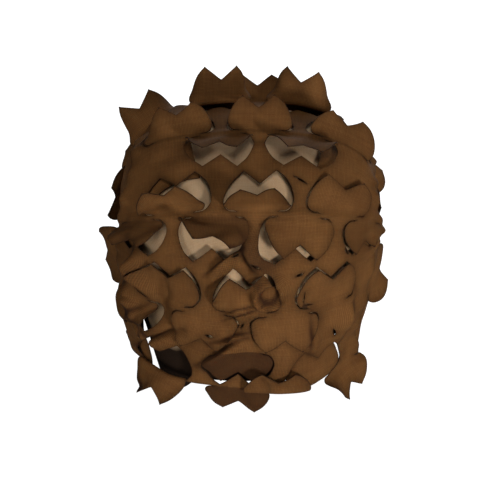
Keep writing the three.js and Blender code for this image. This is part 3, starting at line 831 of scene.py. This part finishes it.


# closed cloth of this thickness from a sheet of triangles, with its flat places, masks of its cut edges
# and its painted shade
def clothPiece(name, points, faces, flat, shade, thickness, material):
    used, faces = np.unique(faces, return_inverse=True)
    faces = faces.reshape(-1, 3)
    points, flat, shade = points[used], flat[used], shade[used]
    cross = faceCross(points, faces)
    normals = np.zeros_like(points)
    for k in range(3):
        np.add.at(normals, faces[:, k], cross)
    normals = unit(normals)
    count = len(points)
    sides = faces[:, [0, 1, 1, 2, 2, 0]].reshape(-1, 2)
    known = set(map(tuple, sides))
    rim = np.array([(a, b) for a, b in sides if (b, a) not in known])
    walls = np.concatenate(
        [np.stack([rim[:, 1], rim[:, 0], rim[:, 0] + count], axis=1),
         np.stack([rim[:, 1], rim[:, 0] + count, rim[:, 1] + count], axis=1)]
    )
    triangles = np.concatenate([faces, faces[:, ::-1] + count, walls])
    verts = np.concatenate([points + normals * thickness / 2, points - normals * thickness / 2]) * mm

    mesh = bpy.data.meshes.new(name)
    mesh.from_pydata(verts.tolist(), [], triangles.tolist())
    mesh.shade_smooth()
    mesh.set_sharp_from_angle(angle=math.radians(sharpAngle))
    cutEdge = np.zeros(count)
    cutEdge[rim.ravel()] = 1
    toEdge = np.sqrt(nearestSquare(flat, flat[np.unique(rim)]))
    place = np.concatenate([flat, np.zeros((count, 1))], axis=1) * mm
    # the last of these masks is painted shade
    for label, kind, field, values in (
        ("clothPlace", "FLOAT_VECTOR", "vector", place),
        ("cutEdge", "FLOAT", "value", cutEdge),
        ("nearEdge", "FLOAT", "value", np.exp(-toEdge / edgeShade["width"])),
        ("paintedShade", "FLOAT", "value", shade),
    ):
        bothFaces = np.concatenate([values, values]).ravel()
        mesh.attributes.new(label, kind, "POINT").data.foreach_set(field, bothFaces)
    mesh.materials.append(material)
    piece = bpy.data.objects.new(name, mesh)
    bpy.context.scene.collection.objects.link(piece)
    return piece


# shader group with its named sockets
def newGroup(name, inputs, outputs):
    group = bpy.data.node_groups.new(name, "ShaderNodeTree")
    for direction, sockets in (("INPUT", inputs), ("OUTPUT", outputs)):
        for socketName, kind, value in sockets:
            socket = group.interface.new_socket(socketName, in_out=direction, socket_type=kind)
            if value is not None:
                socket.default_value = value
    return group


mixSockets = {"FLOAT": (0, 2, 3, 0), "RGBA": (0, 6, 7, 2)}  # share, first, second, and the result


class NodeBench:
    def __init__(self, tree):
        self.tree = tree

    def add(self, kind, **values):
        node = self.tree.nodes.new(kind)
        for name, value in values.items():
            setattr(node, name, value)
        return node

    def link(self, source, target):
        self.tree.links.new(source, target)

    # a maths node fed with sockets or plain numbers
    def maths(self, operation, *values):
        node = self.add("ShaderNodeMath", operation=operation)
        for socket, value in zip(node.inputs, values):
            if isinstance(value, (int, float)):
                socket.default_value = value
            else:
                self.link(value, socket)
        return node.outputs[0]

    def noise(self, vector, scale, detail):
        node = self.add("ShaderNodeTexNoise")
        node.inputs["Scale"].default_value = scale
        node.inputs["Detail"].default_value = detail
        self.link(vector, node.inputs["Vector"])
        return node.outputs["Fac"]

    def mix(self, kind, share, first, second):
        node = self.add("ShaderNodeMix", data_type=kind)
        *places, result = mixSockets[kind]
        for place, value in zip(places, (share, first, second)):
            if isinstance(value, tuple):
                node.inputs[place].default_value = value
            else:
                self.link(value, node.inputs[place])
        return node.outputs[result]

    def ramp(self, value, low, high):
        node = self.add("ShaderNodeMapRange", interpolation_type="SMOOTHSTEP")
        node.inputs["From Min"].default_value = low
        node.inputs["From Max"].default_value = high
        self.link(value, node.inputs["Value"])
        return node.outputs[0]


weaveForm = {"swing": 0.6, "height": 0.6, "weftDraw": 137.0}  # the draw keeps weft tones off the warp's


# over-and-under threads of a plain weave on the flat cloth
def plainWeaveGroup():
    group = newGroup(
        "plainWeave",
        [("Place", "NodeSocketVector", None), ("Threads", "NodeSocketFloat", 900.0)],
        [("Height", "NodeSocketFloat", None), ("Thread Tone", "NodeSocketFloat", None)],
    )
    bench = NodeBench(group)
    given = bench.add("NodeGroupInput")
    result = bench.add("NodeGroupOutput")
    split = bench.add("ShaderNodeSeparateXYZ")
    bench.link(given.outputs["Place"], split.inputs[0])
    u = bench.maths("MULTIPLY", split.outputs[0], given.outputs["Threads"])
    v = bench.maths("MULTIPLY", split.outputs[1], given.outputs["Threads"])

    def thread(side, along, shift):
        index = bench.maths("FLOOR", side)
        off = bench.maths("SUBTRACT", bench.maths("FRACT", side), 0.5)
        body = bench.maths("COSINE", bench.maths("MULTIPLY", off, math.pi))
        start = bench.maths("ADD", bench.maths("ADD", along, index), shift)
        wave = bench.maths("SINE", bench.maths("MULTIPLY", start, math.pi))
        height = bench.maths("MULTIPLY_ADD", wave, weaveForm["swing"], body)
        noise = bench.add("ShaderNodeTexWhiteNoise", noise_dimensions="1D")
        bench.link(bench.maths("ADD", index, weaveForm["weftDraw"] * shift), noise.inputs["W"])
        return height, noise.outputs["Value"]

    warp, warpTone = thread(u, v, 0.0)
    weft, weftTone = thread(v, u, 1.0)
    onTop = bench.maths("GREATER_THAN", warp, weft)
    height = bench.maths("MULTIPLY", bench.maths("MAXIMUM", warp, weft), weaveForm["height"])
    bench.link(height, result.inputs["Height"])
    bench.link(bench.mix("FLOAT", onTop, weftTone, warpTone), result.inputs["Thread Tone"])
    return group


# patches and streaks to a metre
toneForm = {"patches": 22.0, "patchDetail": 4.0, "streaks": (900.0, 60.0), "streakDetail": 2.0}


# slow change of tone over the cloth, with streaks along the threads
def clothToneGroup():
    group = newGroup(
        "clothTone",
        [("Place", "NodeSocketVector", None), ("Streaks", "NodeSocketFloat", 0.35)],
        [("Tone", "NodeSocketFloat", None)],
    )
    bench = NodeBench(group)
    given = bench.add("NodeGroupInput")
    result = bench.add("NodeGroupOutput")
    wide = bench.noise(given.outputs["Place"], toneForm["patches"], toneForm["patchDetail"])
    close, far = toneForm["streaks"]
    streaks = []
    for scale in ((close, far, 1.0), (far, close, 1.0)):
        mapping = bench.add("ShaderNodeMapping")
        mapping.inputs["Scale"].default_value = scale
        bench.link(given.outputs["Place"], mapping.inputs["Vector"])
        streaks.append(bench.noise(mapping.outputs[0], 1.0, toneForm["streakDetail"]))
    both = bench.maths("MULTIPLY", bench.maths("ADD", *streaks), 0.5)
    bench.link(bench.mix("FLOAT", given.outputs["Streaks"], wide, both), result.inputs["Tone"])
    return group


plainWeave = plainWeaveGroup()
clothTone = clothToneGroup()

scrimFinish = {
    "dark": (0.080, 0.032, 0.0088, 1),
    "light": (0.150, 0.065, 0.0185, 1),
    # the scrim's dark cut edge is a painted outline of the shade in the gaps along its cuts
    "cutEdge": (0.020, 0.009, 0.004, 1),
    # colour of painted shade
    "shaded": (0.022, 0.008, 0.003, 1),
    "threads": 820.0,  # threads to a metre
    "bump": 0.5,
    "bumpDepth": 0.0004,
    "roughness": 0.88,
    "glow": 0.3,
}
capFinish = {
    "dark": (0.33, 0.21, 0.115, 1),
    "light": (0.46, 0.315, 0.185, 1),
    "cutEdge": (0.44, 0.30, 0.18, 1),
    # painted shade towards the rim
    "shaded": (0.012, 0.006, 0.003, 1),
    "threads": 1400.0,
    "bump": 0.35,
    "bumpDepth": 0.0003,
    "roughness": 0.92,
    "glow": 0.3,
}

# what both cloths share
clothLook = {
    "threadTone": 0.35,  # how much each thread has a tone of its own
    "tone": (0.3, 0.7),
    "toneShare": 0.74,
    "dip": (0.35, 0.85),  # height of a thread where it is darkest, and where it is plain
    "dipShade": 0.45,
    "cutEdge": (0.62, 0.98),
    "cutEdgeShare": 0.7,
    "specular": 0.08,
    "glowRadius": (1.0, 0.5, 0.25),
    "glowScale": 0.001,
    "black": (0.0, 0.0, 0.0, 1.0),
}


def clothMaterial(name, finish):
    material = bpy.data.materials.new(name)
    material.use_nodes = True
    tree = material.node_tree
    tree.nodes.clear()
    bench = NodeBench(tree)
    black = clothLook["black"]
    place, edge, near, shadeMask = (
        bench.add("ShaderNodeAttribute", attribute_name=label)
        for label in ("clothPlace", "cutEdge", "nearEdge", "paintedShade")
    )
    weave = bench.add("ShaderNodeGroup", node_tree=plainWeave)
    weave.inputs["Threads"].default_value = finish["threads"]
    tone = bench.add("ShaderNodeGroup", node_tree=clothTone)
    bench.link(place.outputs["Vector"], weave.inputs["Place"])
    bench.link(place.outputs["Vector"], tone.inputs["Place"])

    # each thread a little different in tone, with painted shade where it dips under its neighbour
    slow = bench.ramp(tone.outputs["Tone"], *clothLook["tone"])
    shade = bench.maths("MULTIPLY_ADD", weave.outputs["Thread Tone"], clothLook["threadTone"], slow)
    shade = bench.maths("MULTIPLY", shade, clothLook["toneShare"])
    colour = bench.mix("RGBA", shade, finish["dark"], finish["light"])
    dip = bench.ramp(weave.outputs["Height"], *clothLook["dip"])
    dip = bench.maths("MULTIPLY_ADD", dip, -clothLook["dipShade"], clothLook["dipShade"])
    colour = bench.mix("RGBA", dip, colour, black)

    # cut edges, painted shade near them, and painted shade where the shade mask is set; on the scrim the
    # cut edge is a dark painted outline of shade
    cut = bench.ramp(edge.outputs["Fac"], *clothLook["cutEdge"])
    cut = bench.maths("MULTIPLY", cut, clothLook["cutEdgeShare"])
    colour = bench.mix("RGBA", cut, colour, finish["cutEdge"])
    # painted shade near the cuts
    nearCut = bench.maths("MULTIPLY", near.outputs["Fac"], edgeShade["share"])
    colour = bench.mix("RGBA", nearCut, colour, black)
    colour = bench.mix("RGBA", shadeMask.outputs["Fac"], colour, finish["shaded"])

    bump = bench.add("ShaderNodeBump")
    bump.inputs["Strength"].default_value = finish["bump"]
    bump.inputs["Distance"].default_value = finish["bumpDepth"]
    bench.link(weave.outputs["Height"], bump.inputs["Height"])
    shader = bench.add("ShaderNodeBsdfPrincipled")
    shader.inputs["Roughness"].default_value = finish["roughness"]
    shader.inputs["Specular IOR Level"].default_value = clothLook["specular"]
    shader.inputs["Subsurface Weight"].default_value = finish["glow"]  # light through the cloth
    shader.inputs["Subsurface Radius"].default_value = clothLook["glowRadius"]
    shader.inputs["Subsurface Scale"].default_value = clothLook["glowScale"]
    bench.link(colour, shader.inputs["Base Color"])
    bench.link(bump.outputs["Normal"], shader.inputs["Normal"])
    output = bench.add("ShaderNodeOutputMaterial")
    bench.link(shader.outputs[0], output.inputs["Surface"])
    return material


scrimMaterial = clothMaterial("brownScrim", scrimFinish)
capMaterial = clothMaterial("tanCapCloth", capFinish)
print("materials made")

# tan cap under the scrim
cap = {
    "clearance": 1.45,
    "thickness": 1.0,
    "sectors": 200,
    "rings": 70,
    "rim": [  # turn from the front to the right, and angle from straight up
        (-180, 130),
        (-140, 121),
        (-90, 116),
        (-54, 117),
        (-45, 137),
        (-34, 137),
        (-20, 131),
        (29, 131),
        (42, 118),
        (90, 116),
        (140, 121),
        (180, 130),
    ],
    # painted shade darkens the cloth towards its rim, where the inside beyond it lies in shade
    "darkRim": (31, 38),  # the cloth darkens towards its rim, between these distances from it
}


def makeCap():
    sectors, rings = cap["sectors"], cap["rings"]
    turn = np.arange(sectors) * math.tau / sectors - math.pi
    turns, angles = np.array(cap["rim"], float).T
    after = np.clip(np.searchsorted(turns, np.degrees(turn)), 1, len(turns) - 1)
    share = smoothStep(np.degrees(turn), turns[after - 1], turns[after])
    rim = lerp(angles[after - 1], angles[after], share)
    polar = np.radians(np.arange(1, rings + 1)[:, None] / rings * rim)
    level = front * np.cos(turn)[:, None] + right * np.sin(turn)[:, None]
    way = np.sin(polar)[..., None] * level + np.cos(polar)[..., None] * up
    way = np.concatenate([[up], way.reshape(-1, 3)])
    points = clothPoint(way, cap["clearance"], False)
    run = np.concatenate([[0], (polar * dome["halfDepth"]).ravel()])
    across = np.concatenate([[0], np.tile(turn, rings)])
    flat = np.stack([run * np.sin(across), run * np.cos(across)], axis=1)
    index = 1 + np.arange(rings * sectors).reshape(rings, sectors)
    nextOne = np.roll(index, -1, axis=1)
    crown = np.stack([np.zeros(sectors, int), nextOne[0], index[0]], axis=1)
    a, b, c, d = (grid.ravel() for grid in (index[:-1], nextOne[:-1], index[1:], nextOne[1:]))
    faces = np.concatenate([crown, np.stack([a, b, d], axis=1), np.stack([a, d, c], axis=1)])
    toRim = np.radians(rim) * dome["halfDepth"] - polar * dome["halfDepth"]
    # painted shade near the rim
    shade = np.concatenate([[0], 1 - smoothStep(toRim, *cap["darkRim"]).ravel()])
    return clothPiece("capCloth", points, faces, flat, shade, cap["thickness"], capMaterial)


capPiece = makeCap()
print("cap made")


def makePanel(panel, name):
    place = placer(panel)
    leaves = leavesOf(panel)
    flat, faces, owner = flatSheet(panel, leaves)
    points = place(flat[:, 0], flat[:, 1])
    # painted shade of the folds and of the lines of shade over the flat cloth
    shade = paintedShadeOf(panel, flat[:, 0], flat[:, 1])
    for i, leaf in enumerate(leaves):
        mine = np.unique(faces[owner == i])
        lies = "rise" in leaf["stance"]
        placeLeaf = lyingPlacer(place, leaf) if lies else standingPlacer(place, leaf, panel)
        a = flat[mine, 0] - leaf["centre"]
        b = leaf["sign"] * (flat[mine, 1] - leaf["hinge"]) - leaf["inset"]
        points[mine] = placeLeaf(a, b)
        # a leaf that lies in shade gets painted shade of its own
        shade[mine] = np.maximum(shade[mine], leaf["stance"].get("shade", 0))
    web = faces[owner < 0]
    if np.sum(faceCross(points, web) * (points[web].mean(axis=1) - middle)) < 0:
        faces = faces[:, ::-1]  # the outer side of the cloth faces away from the dome
    piece = clothPiece(name, points, faces, flat, shade, scrim["thickness"], scrimMaterial)
    size = np.ptp(flat[np.unique(faces)], axis=0) * mm
    area = np.abs(faceCross(flat, faces)).sum() / 2 * mm * mm
    print(name, len(leaves), "leaves", len(piece.data.polygons), "triangles", size, round(area, 4))
    return piece, tuple(float(x) for x in size), float(area)


centrePiece, centreSize, centreArea = makePanel(centrePanel, "centreScrim")
leftPiece, leftSize, leftArea = makePanel(leftPanel, "leftScrim")
rightPiece, rightSize, rightArea = makePanel(rightPanel, "rightScrim")

for piece, node, slot in (
    (capPiece, "base_cap", "cap_cloth"),
    (centrePiece, "scrim_centre", "scrim_cloth"),
    (leftPiece, "scrim_left", "scrim_cloth"),
    (rightPiece, "scrim_right", "scrim_cloth"),
):
    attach(piece, "root")
    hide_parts(node)

# floor, light and camera
studio = {
    "floorSize": 16.0,
    "floorGap": 0.0005,
    "floorColour": (0.35, 0.35, 0.35, 1),
    "floorGlow": 1.0,
    "sky": 0.055,
}
lamps = [  # name, place, size, power
    ("keyLamp", (1.2, -2.3, -0.1), 0.4, 62.0),
    ("fillLamp", (-1.3, -2.2, 0.0), 1.2, 26.0),
    ("topLamp", (0.3, -1.7, 1.8), 0.8, 28.0),
    ("backLamp", (0.5, 2.4, 0.6), 1.4, 48.0),
]
# the camera stands in front at this elevation, and width is what it sees at the target
view = {
    "target": (-0.0078, 0.0, -0.121),
    "elevation": 25.0,
    "distance": 1.4,
    "width": 0.4656,
    "sensor": 36.0,
}


def makeStudio():
    mesh = bpy.data.meshes.new("floor")
    half = studio["floorSize"] / 2
    z = cadLow.z - studio["floorGap"]
    corners = [(-half, -half, z), (half, -half, z), (half, half, z), (-half, half, z)]
    mesh.from_pydata(corners, [], [(0, 1, 2, 3)])
    floor = bpy.data.objects.new("floor", mesh)
    bpy.context.scene.collection.objects.link(floor)
    material = bpy.data.materials.new("paleFloor")
    material.use_nodes = True
    shader = material.node_tree.nodes["Principled BSDF"]
    shader.inputs["Base Color"].default_value = studio["floorColour"]
    shader.inputs["Roughness"].default_value = 1.0
    shader.inputs["Specular IOR Level"].default_value = 0.0  # no shine
    shader.inputs["Emission Color"].default_value = (1, 1, 1, 1)
    shader.inputs["Emission Strength"].default_value = studio["floorGlow"]
    mesh.materials.append(material)
    onlyFloor = bpy.data.collections.new("litByTheFloor")  # the floor's own glow stays off the cloth
    onlyFloor.objects.link(floor)
    floor.light_linking.receiver_collection = onlyFloor

    onlyCloth = bpy.data.collections.new("clothThatShades")  # the low lamps shine past the floor
    for piece in (capPiece, centrePiece, leftPiece, rightPiece):
        onlyCloth.objects.link(piece)

    world = bpy.data.worlds.new("studioSky")
    world.use_nodes = True
    background = world.node_tree.nodes["Background"]
    background.inputs["Color"].default_value = (1, 1, 1, 1)
    background.inputs["Strength"].default_value = studio["sky"]
    bpy.context.scene.world = world
    aim = Vector(view["target"])
    for name, place, size, power in lamps:
        light = bpy.data.lights.new(name, "AREA")
        light.size = size
        light.energy = power
        lamp = bpy.data.objects.new(name, light)
        lamp.location = place
        lamp.rotation_euler = (aim - Vector(place)).to_track_quat("-Z", "Y").to_euler()
        lamp.light_linking.blocker_collection = onlyCloth
        bpy.context.scene.collection.objects.link(lamp)


def makeCamera():
    lens = bpy.data.cameras.new("photoCamera")
    lens.sensor_width = view["sensor"]
    lens.lens = lens.sensor_width * view["distance"] / view["width"]
    camera = bpy.data.objects.new("photoCamera", lens)
    rise = math.radians(view["elevation"])
    back = Vector((0.0, -math.cos(rise), math.sin(rise)))
    camera.location = Vector(view["target"]) + back * view["distance"]
    camera.rotation_euler = (-back).to_track_quat("-Z", "Y").to_euler()
    bpy.context.scene.collection.objects.link(camera)
    bpy.context.scene.camera = camera


makeStudio()
makeCamera()
bpy.context.scene.view_settings.view_transform = "Standard"
print("studio and camera made")
